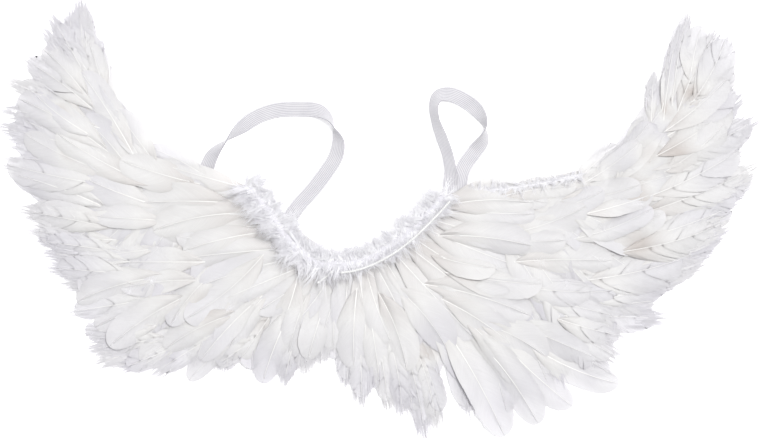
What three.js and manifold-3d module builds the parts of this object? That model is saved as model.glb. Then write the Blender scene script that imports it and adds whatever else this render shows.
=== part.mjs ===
// Costume angel wings lying feather side up. Millimetres, +X along the span, +Y towards the neckline, +Z up.
// The origin is on the surface below the middle of the wings.
import * as THREE from "three";
import { mergeVertices } from "three/addons/utils/BufferGeometryUtils.js";
import Module from "manifold-3d";

const wasm = await Module();
wasm.setup();

// Driving sizes
const span = 600; // from one wing tip to the other
const wingHeight = 347; // from the highest tip to the lowest
const clearance = 0.3; // between pieces that touch
const strapWidth = 12;
const strapThickness = 1.2;
const panelThickness = 2;
const featherThickness = 1; // at the quill, thinner towards the edges
const shingleRise = 0.8; // one edge of a feather lies this much above its quill, the other below it
const rowGap = 0.6; // between the feathers of one row and the next
const tapeWidth = 9; // the strip that holds the quills of a row
const climbRun = 22; // the top feathers climb from the panel onto the rows below over this distance
const quillBow = 0.03; // sideways bow of a feather, as a share of its length
const quillTail = 0.02; // how far a quill runs back over its tape, as a share of the ray
const shortReach = 0.93; // reach of every other feather
const droopRun = 70; // the feathers come down to the surface over this distance past the panel
const featherWidth = 27; // at the widest place
const trimRadius = 10; // the packed core of the down trim
const trimLock = 12; // how far its locks reach past the core
const edgeRadius = 3;
const edgeLock = 6;
const cordRadius = 1.3;
const cordLean = 32; // degrees from the top of the trim towards the feathers

// Heights that follow from them
const panelBottom = strapThickness + 2 * clearance;
const panelTop = panelBottom + panelThickness;
const rowHalf = Math.max(shingleRise, featherThickness / 2); // from a quill's middle to the row's top
const rowPitch = 2 * rowHalf + rowGap;
const droop = panelTop + clearance; // the lowest row's feather edges end on the surface
const covertLevel = 3; // the short top row lies on three rows
const rootTop = panelTop + clearance + rowHalf + shingleRise / 2; // top of a tape that lies on the panel
const climbSlope = (covertLevel * rowPitch) / (climbRun - tapeWidth / 2);
const trimRise = trimRadius * (Math.hypot(1, climbSlope) - 1); // to clear the feathers that climb beside it
const trimBottom = rootTop + clearance + trimRise;
const edgeBottom = panelTop + clearance;

// Middle line of the panel from its left end to its right end: x is a share of the span, y and half are
// shares of the wing height, and half is half of the panel's width there
const panelLine = [
  { x: -0.325, y: 0.1, half: 0.07 },
  { x: -0.262, y: 0.035, half: 0.075 },
  { x: -0.191, y: -0.037, half: 0.105 },
  { x: -0.119, y: -0.135, half: 0.1 },
  { x: -0.046, y: -0.186, half: 0.085 },
  { x: 0.027, y: -0.151, half: 0.095 },
  { x: 0.093, y: -0.064, half: 0.102 },
  { x: 0.185, y: 0.005, half: 0.072 },
  { x: 0.304, y: 0.06, half: 0.065 },
];

// Outline of the feather tips from the left shoulder round the bottom to the right one: from is the place on
// the panel's middle line that the feather points away from, x and y are shares of the span and the height
const tipLine = [
  { from: 0, x: -0.377, y: 0.406 },
  { from: 0, x: -0.394, y: 0.5 },
  { from: 0, x: -0.447, y: 0.42 },
  { from: 0, x: -0.489, y: 0.291 },
  { from: 0, x: -0.5, y: 0.158 },
  { from: 0.02, x: -0.476, y: 0.021 },
  { from: 0.055, x: -0.439, y: -0.122 },
  { from: 0.095, x: -0.391, y: -0.287 },
  { from: 0.15, x: -0.304, y: -0.36 },
  { from: 0.23, x: -0.222, y: -0.369 },
  { from: 0.32, x: -0.156, y: -0.374 },
  { from: 0.4, x: -0.089, y: -0.356 },
  { from: 0.48, x: -0.023, y: -0.415 },
  { from: 0.59, x: 0.064, y: -0.489 },
  { from: 0.69, x: 0.166, y: -0.5 },
  { from: 0.75, x: 0.255, y: -0.427 },
  { from: 0.8, x: 0.316, y: -0.378 },
  { from: 0.855, x: 0.366, y: -0.232 },
  { from: 0.91, x: 0.435, y: -0.08 },
  { from: 0.96, x: 0.477, y: 0.044 },
  { from: 0.99, x: 0.5, y: 0.163 },
  { from: 1, x: 0.48, y: 0.291 },
  { from: 1, x: 0.459, y: 0.401 },
  { from: 1, x: 0.413, y: 0.461 },
  { from: 1, x: 0.394, y: 0.385 },
];

// Rows of feathers from the lowest level up: first and last are places along tipLine, with so many feathers
// to each step of it, root and tip are shares of the way from the panel's middle line to the outline
const leftRows = [
  { name: "left_outer_feathers", first: 0, last: 11, perStep: 2, root: 0.24, tip: 1, level: 0 },
  { name: "left_middle_feathers", first: 0.6, last: 12, perStep: 1.05, root: 0.12, tip: 0.74, level: 1 },
  { name: "left_inner_feathers", first: 0.8, last: 10.4, perStep: 0.82, root: 0.1, tip: 0.5, level: 2 },
];
const rightRows = [
  { name: "right_outer_feathers", first: 12, last: 24, perStep: 2, root: 0.24, tip: 1, level: 0 },
  { name: "right_middle_feathers", first: 13.1, last: 23.4, perStep: 1.15, root: 0.12, tip: 0.74, level: 1 },
  { name: "right_inner_feathers", first: 11.5, last: 23.2, perStep: 0.8, root: 0.1, tip: 0.5, level: 2 },
];

// Short top feathers: from is the place of the root along the neckline, from 0 at its left end to 1
const leftCoverts = [
  { from: 0.02, x: -0.291, y: 0.135 },
  { from: 0.1, x: -0.315, y: 0.05 },
  { from: 0.2, x: -0.295, y: -0.02 },
  { from: 0.29, x: -0.26, y: -0.085 },
  { from: 0.37, x: -0.215, y: -0.17 },
  { from: 0.44, x: -0.15, y: -0.255 },
  { from: 0.5, x: -0.085, y: -0.28 },
];
const rightCoverts = [
  { from: 0.56, x: -0.018, y: -0.29 },
  { from: 0.61, x: 0.045, y: -0.3 },
  { from: 0.67, x: 0.12, y: -0.295 },
  { from: 0.74, x: 0.19, y: -0.21 },
  { from: 0.81, x: 0.236, y: -0.115 },
  { from: 0.87, x: 0.25, y: -0.04 },
  { from: 0.93, x: 0.262, y: 0.03 },
  { from: 0.99, x: 0.245, y: 0.085 },
];

// Half width of a feather along its length, as a share of the widest place
const vane = [
  { along: 0, half: 0.14 },
  { along: 0.3, half: 0.6 },
  { along: 0.62, half: 1 },
  { along: 0.85, half: 0.88 },
  { along: 0.96, half: 0.52 },
  { along: 1, half: 0.14 },
];

// Neckline that the down trim follows, and the part of the right wing's top edge that has a thin fringe
const neckline = [
  { x: -0.178, y: 0.078 },
  { x: -0.156, y: 0.037 },
  { x: -0.132, y: -0.021 },
  { x: -0.108, y: -0.071 },
  { x: -0.076, y: -0.103 },
  { x: -0.039, y: -0.103 },
  { x: -0.002, y: -0.08 },
  { x: 0.03, y: -0.044 },
  { x: 0.059, y: 0.002 },
  { x: 0.089, y: 0.057 },
];
const topEdge = [
  { x: 0.135, y: 0.07 },
  { x: 0.17, y: 0.08 },
  { x: 0.205, y: 0.09 },
  { x: 0.235, y: 0.098 },
];

// Strap routes from end to end: turn is in degrees, 0 and 180 lie flat, 90 stands on its edge
const leftStrapLine = [
  { x: -0.24, y: 0.02, turn: 0 },
  { x: -0.234, y: 0.066, turn: 0 },
  { x: -0.227, y: 0.112, turn: 0 },
  { x: -0.219, y: 0.149, turn: 30 },
  { x: -0.201, y: 0.188, turn: 90 },
  { x: -0.183, y: 0.218, turn: 150 },
  { x: -0.164, y: 0.239, turn: 180 },
  { x: -0.137, y: 0.248, turn: 180 },
  { x: -0.105, y: 0.25, turn: 180 },
  { x: -0.081, y: 0.245, turn: 200 },
  { x: -0.067, y: 0.228, turn: 245 },
  { x: -0.061, y: 0.206, turn: 280 },
  { x: -0.054, y: 0.179, turn: 325 },
  { x: -0.053, y: 0.147, turn: 350 },
  { x: -0.061, y: 0.112, turn: 360 },
  { x: -0.076, y: 0.071, turn: 360 },
  { x: -0.095, y: 0.03, turn: 360 },
  { x: -0.113, y: -0.011, turn: 360 },
  { x: -0.126, y: -0.048, turn: 360 },
];
const rightStrapLine = [
  { x: 0.072, y: -0.03, turn: 0 },
  { x: 0.082, y: 0.01, turn: 0 },
  { x: 0.086, y: 0.045, turn: 0 },
  { x: 0.089, y: 0.078, turn: 0 },
  { x: 0.092, y: 0.112, turn: 40 },
  { x: 0.089, y: 0.149, turn: 45 },
  { x: 0.081, y: 0.188, turn: 45 },
  { x: 0.073, y: 0.227, turn: 60 },
  { x: 0.071, y: 0.262, turn: 55 },
  { x: 0.078, y: 0.284, turn: 35 },
  { x: 0.093, y: 0.287, turn: 15 },
  { x: 0.113, y: 0.271, turn: 0 },
  { x: 0.129, y: 0.248, turn: -20 },
  { x: 0.14, y: 0.213, turn: -80 },
  { x: 0.138, y: 0.181, turn: -140 },
  { x: 0.13, y: 0.156, turn: -180 },
  { x: 0.118, y: 0.117, turn: -180 },
  { x: 0.114, y: 0.08, turn: -180 },
  { x: 0.118, y: 0.04, turn: -180 },
  { x: 0.126, y: 0, turn: -180 },
];

// Finishes
const finishes = {
  felt: { color: 0xe9e8e6, roughness: 0.95, metalness: 0 },
  feather: { color: 0xf4f3f4, roughness: 0.7, metalness: 0 },
  down: { color: 0xfafafa, roughness: 0.9, metalness: 0 },
  cord: { color: 0xf2f1ee, roughness: 0.8, metalness: 0 },
  elastic: { color: 0xebeaee, roughness: 0.75, metalness: 0 },
};

const wings = new THREE.Group();

// Adds one named piece with its own finish
function addPiece(name, geometry, finish) {
  const mesh = new THREE.Mesh(geometry, new THREE.MeshStandardMaterial(finishes[finish]));
  mesh.name = name;
  wings.add(mesh);
}

function mix(a, b, share) {
  return a + (b - a) * share;
}

// A place given as shares of the span and the height
function placed(row, z = 0) {
  return new THREE.Vector3(row.x * span, row.y * wingHeight, z);
}

// Value of a column between the rows of a table, at a place counted in rows
function between(table, column, place) {
  const low = Math.min(Math.floor(place), table.length - 2);
  return mix(table[low][column], table[low + 1][column], place - low);
}

function curveThrough(table) {
  return new THREE.CatmullRomCurve3(table.map((row) => placed(row)), false, "centripetal");
}

// Direction square to a route in the plane, to its right
function rightOf(direction) {
  return new THREE.Vector3(direction.y, -direction.x, 0).normalize();
}

// Moves every point of a blank of unit length: along runs from 0 to 1 from its start to its end
function shaped(blank, place) {
  const points = blank.getAttribute("position");
  for (let i = 0; i < points.count; i += 1) {
    const spot = place(points.getY(i) + 0.5, points.getX(i), points.getZ(i));
    points.setXYZ(i, spot.x, spot.y, spot.z);
  }
  return blank;
}

function solidOf(geometry) {
  const bare = geometry.clone();
  bare.deleteAttribute("normal");
  bare.deleteAttribute("uv");
  const merged = mergeVertices(bare, 1e-4);
  const triVerts = new Uint32Array(merged.index.array);
  const vertProperties = new Float32Array(merged.getAttribute("position").array);
  return new wasm.Manifold(new wasm.Mesh({ numProp: 3, vertProperties, triVerts }));
}

// Joins closed geometries into one body, with the pockets sealed between overlapping feathers filled
function fused(geometries) {
  const joined = geometries.map(solidOf).reduce((whole, piece) => whole.add(piece));
  const outside = joined.decompose().filter((shell) => shell.volume() > 0);
  const mesh = wasm.Manifold.compose(outside).getMesh();
  const geometry = new THREE.BufferGeometry();
  geometry.setAttribute("position", new THREE.BufferAttribute(mesh.vertProperties, 3));
  geometry.setIndex(new THREE.BufferAttribute(mesh.triVerts, 1));
  geometry.computeVertexNormals();
  return geometry;
}

// The panel's middle line as points with its half width, close together
const panelCurve = curveThrough(panelLine);
const panelSteps = 40;
const panelPoints = Array.from({ length: panelSteps + 1 }, (_, i) => {
  const share = i / panelSteps;
  const spot = panelCurve.getPoint(share);
  const half = between(panelLine, "half", share * (panelLine.length - 1)) * wingHeight;
  return { spot, half };
});

const neckCurve = curveThrough(neckline);
const neckPoints = neckCurve.getSpacedPoints(panelSteps).map((spot) => ({ spot, half: 0 }));

// Least distance from a place to a line of points, less the line's half width there
function pastLine(points, x, y) {
  const place = new THREE.Vector3(x, y, 0);
  const nearest = new THREE.Vector3();
  return points.slice(1).reduce((least, end, i) => {
    const start = points[i];
    const line = new THREE.Line3(start.spot, end.spot);
    const share = line.closestPointToPointParameter(place, true);
    line.at(share, nearest);
    return Math.min(least, nearest.distanceTo(place) - mix(start.half, end.half, share));
  }, Infinity);
}

// Height of the middle of a row's feathers: up from the neckline, level on the panel, down to the surface
function rowHeight(x, y, level) {
  const climb = THREE.MathUtils.smoothstep(pastLine(neckPoints, x, y), tapeWidth / 2, climbRun);
  const fall = THREE.MathUtils.smoothstep(pastLine(panelPoints, x, y), 0, droopRun);
  return panelTop + clearance + rowHalf + level * rowPitch * climb - droop * fall;
}

function basePanel() {
  const sides = [[], []];
  const sideSteps = 20;
  for (let i = 0; i <= sideSteps; i += 1) {
    const share = i / sideSteps;
    const spot = panelCurve.getPoint(share);
    const across = rightOf(panelCurve.getTangent(share));
    const half = between(panelLine, "half", share * (panelLine.length - 1)) * wingHeight;
    sides[0].push(spot.clone().addScaledVector(across, half));
    sides[1].push(spot.clone().addScaledVector(across, -half));
  }
  const ends = [0, 1].map((share) => roundEnd(share));
  const outline = [...sides[0], ...ends[1], ...sides[1].reverse(), ...ends[0]];
  const shape = new THREE.Shape(outline.map((spot) => new THREE.Vector2(spot.x, spot.y)));
  const panel = new THREE.ExtrudeGeometry(shape, { depth: panelThickness, bevelEnabled: false });
  return panel.translate(0, 0, panelBottom);
}

// Points of the half circle that closes the panel at an end
function roundEnd(share) {
  const spot = panelCurve.getPoint(share);
  const along = panelCurve.getTangent(share).multiplyScalar(share ? 1 : -1);
  const across = rightOf(along);
  const half = panelLine[share ? panelLine.length - 1 : 0].half * wingHeight;
  const endSteps = 6;
  return Array.from({ length: endSteps - 1 }, (_, i) => {
    const angle = (Math.PI * (i + 1)) / endSteps;
    return spot
      .clone()
      .addScaledVector(across, half * Math.cos(angle))
      .addScaledVector(along, half * Math.sin(angle));
  });
}

// One feather from root to tip: a flat lens across, one edge higher than the other, its quill a little bowed
function feather(root, tip, level, bow) {
  const blank = new THREE.CylinderGeometry(1, 1, 1, 4, vane.length - 1);
  const run = tip.clone().sub(root);
  const across = rightOf(run);
  return shaped(blank, (along, side, up) => {
    const row = vane[Math.round(along * (vane.length - 1))];
    const half = (row.half * featherWidth) / 2;
    const aside = side * half + bow * run.length() * Math.sin(Math.PI * row.along);
    const spot = root.clone().addScaledVector(run, row.along).addScaledVector(across, aside);
    spot.z = rowHeight(spot.x, spot.y, level);
    spot.z += side * row.half * shingleRise;
    spot.z += (up * featherThickness * Math.max(row.half, 0.5)) / 2;
    return spot;
  });
}

// The tape that the quills of a row are stitched to
function quillTape(roots, level) {
  const curve = new THREE.CatmullRomCurve3(roots, false, "centripetal");
  const blank = new THREE.BoxGeometry(1, 1, 1, 1, roots.length, 1);
  const top = shingleRise / 2;
  const bottom = -rowHalf;
  return shaped(blank, (along, side, up) => {
    const across = rightOf(curve.getTangent(along));
    const spot = curve.getPoint(along).addScaledVector(across, side * tapeWidth);
    spot.z = rowHeight(spot.x, spot.y, level) + (up > 0 ? top : bottom);
    return spot;
  });
}

// Ray from the panel's middle line to the outline, at a place along tipLine
function ray(place) {
  const start = panelCurve.getPointAt(between(tipLine, "from", place));
  const end = placed({ x: between(tipLine, "x", place), y: between(tipLine, "y", place) });
  return (share) => start.clone().lerp(end, share);
}

// A row of feathers side by side, every other one shorter, bowed to the right or, with sweep -1, to the left
function featherRow({ first, last, perStep, root, tip, level }, sweep) {
  const count = Math.round((last - first) * perStep) + 1;
  const roots = [];
  const feathers = [];
  for (let i = 0; i < count; i += 1) {
    const at = ray(mix(first, last, i / (count - 1)));
    const reach = i % 2 ? tip * shortReach : tip;
    roots.push(at(root));
    feathers.push(feather(at(root - quillTail), at(reach), level, sweep * quillBow));
  }
  return fused([quillTape(roots, level), ...feathers]);
}

// The short top row, stitched along the neckline
function covertRow(table) {
  const roots = table.map((row) => neckCurve.getPointAt(row.from));
  const feathers = roots.map((root, i) => feather(root, placed(table[i]), covertLevel, 0));
  return fused([quillTape(roots, covertLevel), ...feathers]);
}

// Locks of down: base, where they start, and both radii are shares of the core's radius
const lockShape = { sides: 4, base: 0.4, baseRadius: 0.62, tipRadius: 0.08 };

// Slopes of a lock: fan along the strip, rise above the feathers, tilt up or down on the other side
const lockSlope = { fan: 0.3, rise: 0.12, riseStep: 0.1, tilt: 0.25 };

// Direction of a lock from the core, to one side and the other by turns
function lockDirection(i, along) {
  const overFeathers = i % 2 === 1;
  const out = rightOf(along).multiplyScalar(overFeathers ? 1 : -1);
  out.addScaledVector(along, lockSlope.fan * ((i % 5) - 2)).normalize();
  out.z = overFeathers ? lockSlope.rise + lockSlope.riseStep * (i % 3) : lockSlope.tilt * ((i % 3) - 1);
  return out.normalize();
}

// A strip of down: a round core along a curve with tapered locks on both sides
function downStrip(curve, { bottom, radius, lockLength, lockCount, coreSteps }) {
  const height = bottom + radius;
  const core = shaped(new THREE.CylinderGeometry(1, 1, 1, 8, coreSteps), (along, side, up) => {
    const across = rightOf(curve.getTangent(along));
    const spot = curve.getPoint(along).addScaledVector(across, side * radius);
    spot.z = height + up * radius;
    return spot;
  });
  const start = lockShape.base * radius;
  const length = radius + lockLength - start;
  const up = new THREE.Vector3(0, 1, 0);
  const locks = Array.from({ length: lockCount }, (_, i) => {
    const share = (i + 0.5) / lockCount;
    const spot = curve.getPointAt(share);
    const turn = new THREE.Quaternion().setFromUnitVectors(up, lockDirection(i, curve.getTangentAt(share)));
    const ends = [lockShape.tipRadius * radius, lockShape.baseRadius * radius];
    const lock = new THREE.CylinderGeometry(...ends, length, lockShape.sides, 1);
    return lock
      .translate(0, start + length / 2, 0)
      .applyQuaternion(turn)
      .translate(spot.x, spot.y, height);
  });
  return fused([core, ...locks]);
}

const trimStrip = {
  bottom: trimBottom,
  radius: trimRadius,
  lockLength: trimLock,
  lockCount: 30,
  coreSteps: 14,
};
const edgeStrip = {
  bottom: edgeBottom,
  radius: edgeRadius,
  lockLength: edgeLock,
  lockCount: 10,
  coreSteps: 4,
};

// Part of the neckline that the core cord covers
const cordReach = { first: 0.5, last: 0.985 };

// Core cord that lies on the right half of the trim, leaning towards the feathers
function trimCord() {
  const lean = THREE.MathUtils.degToRad(cordLean);
  const reach = trimRadius + clearance + cordRadius;
  const pointCount = 15;
  const points = Array.from({ length: pointCount }, (_, i) => {
    const share = mix(cordReach.first, cordReach.last, i / (pointCount - 1));
    const across = rightOf(neckCurve.getTangentAt(share));
    const spot = neckCurve.getPointAt(share).addScaledVector(across, reach * Math.sin(lean));
    spot.z = trimBottom + trimRadius + reach * Math.cos(lean);
    return spot;
  });
  const circle = new THREE.Shape().absarc(0, 0, cordRadius, 0, Math.PI * 2);
  return new THREE.ExtrudeGeometry(circle, {
    curveSegments: 4,
    steps: 2 * (pointCount - 1),
    extrudePath: new THREE.CatmullRomCurve3(points),
  });
}

// Flat elastic that lies on the surface, turned about its own middle where the route says so
function strap(table) {
  const curve = curveThrough(table);
  const steps = (table.length - 1) * 2;
  return shaped(new THREE.BoxGeometry(1, 1, 1, 1, steps, 1), (along, side, up) => {
    const turn = THREE.MathUtils.degToRad(between(table, "turn", along * (table.length - 1)));
    const across = rightOf(curve.getTangent(along));
    const wide = side * strapWidth;
    const thick = up * strapThickness;
    const aside = wide * Math.cos(turn) - thick * Math.sin(turn);
    const spot = curve.getPoint(along).addScaledVector(across, aside);
    const rise = (strapWidth * Math.abs(Math.sin(turn)) + strapThickness * Math.abs(Math.cos(turn))) / 2;
    spot.z = rise + wide * Math.sin(turn) + thick * Math.cos(turn);
    return spot;
  });
}

addPiece("base_panel", basePanel(), "felt");
for (const row of leftRows) addPiece(row.name, featherRow(row, -1), "feather");
for (const row of rightRows) addPiece(row.name, featherRow(row, 1), "feather");
addPiece("left_covert_feathers", covertRow(leftCoverts), "feather");
addPiece("right_covert_feathers", covertRow(rightCoverts), "feather");
addPiece("down_trim", downStrip(neckCurve, trimStrip), "down");
addPiece("edge_down", downStrip(curveThrough(topEdge), edgeStrip), "down");
addPiece("trim_cord", trimCord(), "cord");
addPiece("left_strap", strap(leftStrapLine), "elastic");
addPiece("right_strap", strap(rightStrapLine), "elastic");

export default wings;
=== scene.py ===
import math
import bpy
import numpy as np
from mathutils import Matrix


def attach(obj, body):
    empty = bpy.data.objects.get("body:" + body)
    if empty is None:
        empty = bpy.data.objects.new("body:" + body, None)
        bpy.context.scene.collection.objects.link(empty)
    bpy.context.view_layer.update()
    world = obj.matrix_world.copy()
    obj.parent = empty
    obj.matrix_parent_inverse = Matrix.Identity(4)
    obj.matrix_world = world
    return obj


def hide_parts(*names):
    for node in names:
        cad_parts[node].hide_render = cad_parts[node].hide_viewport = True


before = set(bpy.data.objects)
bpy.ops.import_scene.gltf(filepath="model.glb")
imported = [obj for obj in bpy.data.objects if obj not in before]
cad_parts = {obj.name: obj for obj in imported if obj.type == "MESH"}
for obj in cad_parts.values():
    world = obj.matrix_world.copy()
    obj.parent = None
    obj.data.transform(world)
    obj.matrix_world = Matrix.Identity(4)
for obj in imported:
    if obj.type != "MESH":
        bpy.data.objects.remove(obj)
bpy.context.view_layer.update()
bpy.ops.object.select_all(action="DESELECT")

# Places of feathers are counted in view steps: 760 across and 438 down, from the left top corner of the view
viewStep = 0.6 / 755  # metres to one step
viewMiddle = (379.5, 219.0)
wingSpan = 0.6
wingHeight = 0.347


def seen(x, y):
    return np.array([(x - viewMiddle[0]) * viewStep, (viewMiddle[1] - y) * viewStep])


# The other way round
def viewed(point):
    return point[0] / viewStep + viewMiddle[0], viewMiddle[1] - point[1] / viewStep


camera = {
    "height": 1.6,
    "aside": 0.5 * viewStep,
    "sensor": 36.0,
    "width": 760 * viewStep,
    "level": 0.008,  # the height at which the width is seen
    "near": 0.05,
    "far": 20,
}
studio = {
    "floorSize": 6.0,
    "floorDrop": 0.0006,
    "floorGlow": 0.3,
    "worldColor": (0.98, 0.985, 1.0, 1),
    "worldStrength": 0.46,
}
keyLight = {"place": (1.6, 1.5, 7.2), "size": 2.2, "power": 415.0}
fillLight = {"place": (-1.3, 0.5, 1.7), "size": 2.4, "power": 4.0}


def newMaterial(name):
    material = bpy.data.materials.new(name)
    material.use_nodes = True
    return material, material.node_tree, material.node_tree.nodes["Principled BSDF"]


def setSockets(node, values):
    for key, value in values.items():
        node.inputs[key.replace("_", " ")].default_value = value


def makeCamera():
    lens = camera["sensor"] * (camera["height"] - camera["level"]) / camera["width"]
    bpy.ops.object.camera_add(location=(camera["aside"], 0, camera["height"]), rotation=(0, 0, 0))
    cam = bpy.context.object
    cam.name = "viewCamera"
    cam.data.sensor_width = camera["sensor"]
    cam.data.lens = lens
    cam.data.clip_start = camera["near"]
    cam.data.clip_end = camera["far"]
    bpy.context.scene.camera = cam


def makeLight(name, spec):
    bpy.ops.object.light_add(type="AREA", location=spec["place"])
    lamp = bpy.context.object
    lamp.name = name
    lamp.data.shape = "DISK"
    lamp.data.size = spec["size"]
    lamp.data.energy = spec["power"]
    aim = -lamp.location
    lamp.rotation_euler = aim.to_track_quat("-Z", "Y").to_euler()


def makeStudio():
    world = bpy.data.worlds.new("studioWorld")
    world.use_nodes = True
    sky = world.node_tree.nodes["Background"]
    sky.inputs["Color"].default_value = studio["worldColor"]
    sky.inputs["Strength"].default_value = studio["worldStrength"]
    bpy.context.scene.world = world
    bpy.context.scene.view_settings.view_transform = "Standard"
    makeLight("keyLight", keyLight)
    makeLight("fillLight", fillLight)
    bpy.ops.mesh.primitive_plane_add(size=studio["floorSize"], location=(0, 0, -studio["floorDrop"]))
    floor = bpy.context.object
    floor.name = "studioFloor"
    paint, tree, shader = newMaterial("paleFloor")
    setSockets(shader, {"Base Color": (1, 1, 1, 1), "Roughness": 1, "Specular IOR Level": 0})
    setSockets(shader, {"Emission Color": (1, 1, 1, 1), "Emission Strength": studio["floorGlow"]})
    floor.data.materials.append(paint)
    bpy.ops.object.select_all(action="DESELECT")


print("camera and studio")
makeCamera()
makeStudio()


def newGroup(name, inputs, outputs):
    group = bpy.data.node_groups.new(name, "ShaderNodeTree")
    for label, kind, value in inputs:
        socket = group.interface.new_socket(label, in_out="INPUT", socket_type=kind)
        if value is not None:
            socket.default_value = value
    for label, kind in outputs:
        group.interface.new_socket(label, in_out="OUTPUT", socket_type=kind)
    return group, group.nodes.new("NodeGroupInput"), group.nodes.new("NodeGroupOutput")


def addNode(tree, kind, **values):
    node = tree.nodes.new(kind)
    for key, value in values.items():
        if hasattr(node, key):
            setattr(node, key, value)
        else:
            node.inputs[key.replace("_", " ")].default_value = value
    return node


# Tone that wanders between two colours over the surface
def makeWanderGroup():
    group, start, end = newGroup(
        "wanderingTone",
        [
            ("Vector", "NodeSocketVector", None),
            ("Scale", "NodeSocketFloat", 20.0),
            ("Light Tone", "NodeSocketColor", (1, 1, 1, 1)),
            ("Dark Tone", "NodeSocketColor", (0.8, 0.8, 0.8, 1)),
        ],
        [("Color", "NodeSocketColor"), ("Mask", "NodeSocketFloat")],
    )
    noise = addNode(group, "ShaderNodeTexNoise", Detail=4.0, Roughness=0.6)
    group.links.new(start.outputs["Vector"], noise.inputs["Vector"])
    group.links.new(start.outputs["Scale"], noise.inputs["Scale"])
    spread = addNode(group, "ShaderNodeMapRange", From_Min=0.35, From_Max=0.65)
    group.links.new(noise.outputs["Fac"], spread.inputs["Value"])
    blend = addNode(group, "ShaderNodeMix", data_type="RGBA")
    group.links.new(spread.outputs["Result"], blend.inputs["Factor"])
    group.links.new(start.outputs["Light Tone"], blend.inputs[6])
    group.links.new(start.outputs["Dark Tone"], blend.inputs[7])
    group.links.new(blend.outputs[2], end.inputs["Color"])
    group.links.new(spread.outputs["Result"], end.inputs["Mask"])
    return group


# Fine fibres that run one way, as barbs, threads and ribs do
def makeFibreGroup():
    group, start, end = newGroup(
        "runningFibres",
        [
            ("Vector", "NodeSocketVector", None),
            ("Stretch", "NodeSocketVector", (30.0, 1.0, 1.0)),
            ("Fineness", "NodeSocketFloat", 1.0),
        ],
        [("Fibre", "NodeSocketFloat"), ("Height", "NodeSocketFloat")],
    )
    scale = addNode(group, "ShaderNodeVectorMath", operation="MULTIPLY")
    group.links.new(start.outputs["Vector"], scale.inputs[0])
    group.links.new(start.outputs["Stretch"], scale.inputs[1])
    noise = addNode(group, "ShaderNodeTexNoise", Detail=3.0, Roughness=0.65)
    group.links.new(scale.outputs["Vector"], noise.inputs["Vector"])
    group.links.new(start.outputs["Fineness"], noise.inputs["Scale"])
    spread = addNode(group, "ShaderNodeMapRange", From_Min=0.3, From_Max=0.7)
    group.links.new(noise.outputs["Fac"], spread.inputs["Value"])
    group.links.new(spread.outputs["Result"], end.inputs["Fibre"])
    group.links.new(noise.outputs["Fac"], end.inputs["Height"])
    return group


wanderGroup = makeWanderGroup()
fibreGroup = makeFibreGroup()


def useGroup(tree, group, **values):
    node = tree.nodes.new("ShaderNodeGroup")
    node.node_tree = group
    setSockets(node, values)
    return node


# Tones that wander on Object coordinates
def wandering(tree, look):
    place = addNode(tree, "ShaderNodeTexCoord")
    tones = useGroup(tree, wanderGroup, Scale=look["scale"], Light_Tone=look["light"], Dark_Tone=look["dark"])
    tree.links.new(place.outputs["Object"], tones.inputs["Vector"])
    return tones.outputs


# Fibres along the piece's UV map, or on Object coordinates
def fibred(tree, look, mapped=True):
    if mapped:
        place = addNode(tree, "ShaderNodeUVMap", uv_map="barbs").outputs["UV"]
    else:
        place = addNode(tree, "ShaderNodeTexCoord").outputs["Object"]
    fibres = useGroup(tree, fibreGroup, Stretch=look["stretch"], Fineness=look["fineness"])
    tree.links.new(place, fibres.inputs["Vector"])
    return fibres.outputs


def toneOf(tree):
    return addNode(tree, "ShaderNodeAttribute", attribute_name="tone").outputs["Fac"]


def ranged(tree, value, **limits):
    node = addNode(tree, "ShaderNodeMapRange", **limits)
    tree.links.new(value, node.inputs["Value"])
    return node.outputs["Result"]


def mixed(tree, factor, color, tint, blend="MIX"):
    node = addNode(tree, "ShaderNodeMix", data_type="RGBA", blend_type=blend)
    node.inputs[7].default_value = tint
    tree.links.new(factor, node.inputs["Factor"])
    tree.links.new(color, node.inputs[6])
    return node.outputs[2]


def finishMaterial(tree, shader, color, height, look):
    tree.links.new(color, shader.inputs["Base Color"])
    setSockets(shader, look["sockets"])
    strength, distance = look["bump"]
    bump = addNode(tree, "ShaderNodeBump", Strength=strength, Distance=distance)
    tree.links.new(height, bump.inputs["Height"])
    tree.links.new(bump.outputs["Normal"], shader.inputs["Normal"])


vaneLook = {
    "light": (0.8, 0.79, 0.815, 1),
    "dark": (0.75, 0.735, 0.78, 1),
    "dim": (0.87, 0.86, 0.85, 1),  # where the tone is 1: lighter and warmer than the lavender of the lower rows, whose darkness is partly painted shade
    "footTintAndShade": (0.76, 0.71, 0.68, 1),  # where the tone is 3: painted shade, warm brown-grey, at the covered feet of the feathers and in the deep hollows, partly the warmer colour of the feathers' bases
    "shade": (0.8, 0.785, 0.79, 1),
    "streaks": 0.35,
    "scale": 26.0,
    "stretch": (13.0, 0.8, 1.0),
    "fineness": 1.3,
    "bump": (0.35, 0.0005),
    "sockets": {
        "Roughness": 0.55,
        "Specular IOR Level": 0.35,
        "Sheen Weight": 0.15,
        "Subsurface Weight": 0.25,
        "Subsurface Radius": (1, 1, 1),
        "Subsurface Scale": 0.002,
    },
}


# Vane of a feather: u runs along the quill in centimetres and v from the quill to the edge
def makeVaneMaterial():
    look = vaneLook
    material, tree, shader = newMaterial("featherVane")
    barbs = fibred(tree, look)
    tone = toneOf(tree)
    color = mixed(tree, tone, wandering(tree, look)["Color"], look["dim"])
    # Painted shade: the feet of the feathers and the deep hollows are darkened towards the warm brown-grey
    # colour
    color = mixed(tree, ranged(tree, tone, From_Min=1.0, From_Max=3.0), color, look["footTintAndShade"], "MULTIPLY")
    streaks = ranged(tree, barbs["Fibre"], To_Min=0.0, To_Max=look["streaks"])
    color = mixed(tree, streaks, color, look["shade"], "MULTIPLY")
    finishMaterial(tree, shader, color, barbs["Height"], look)
    return material


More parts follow.
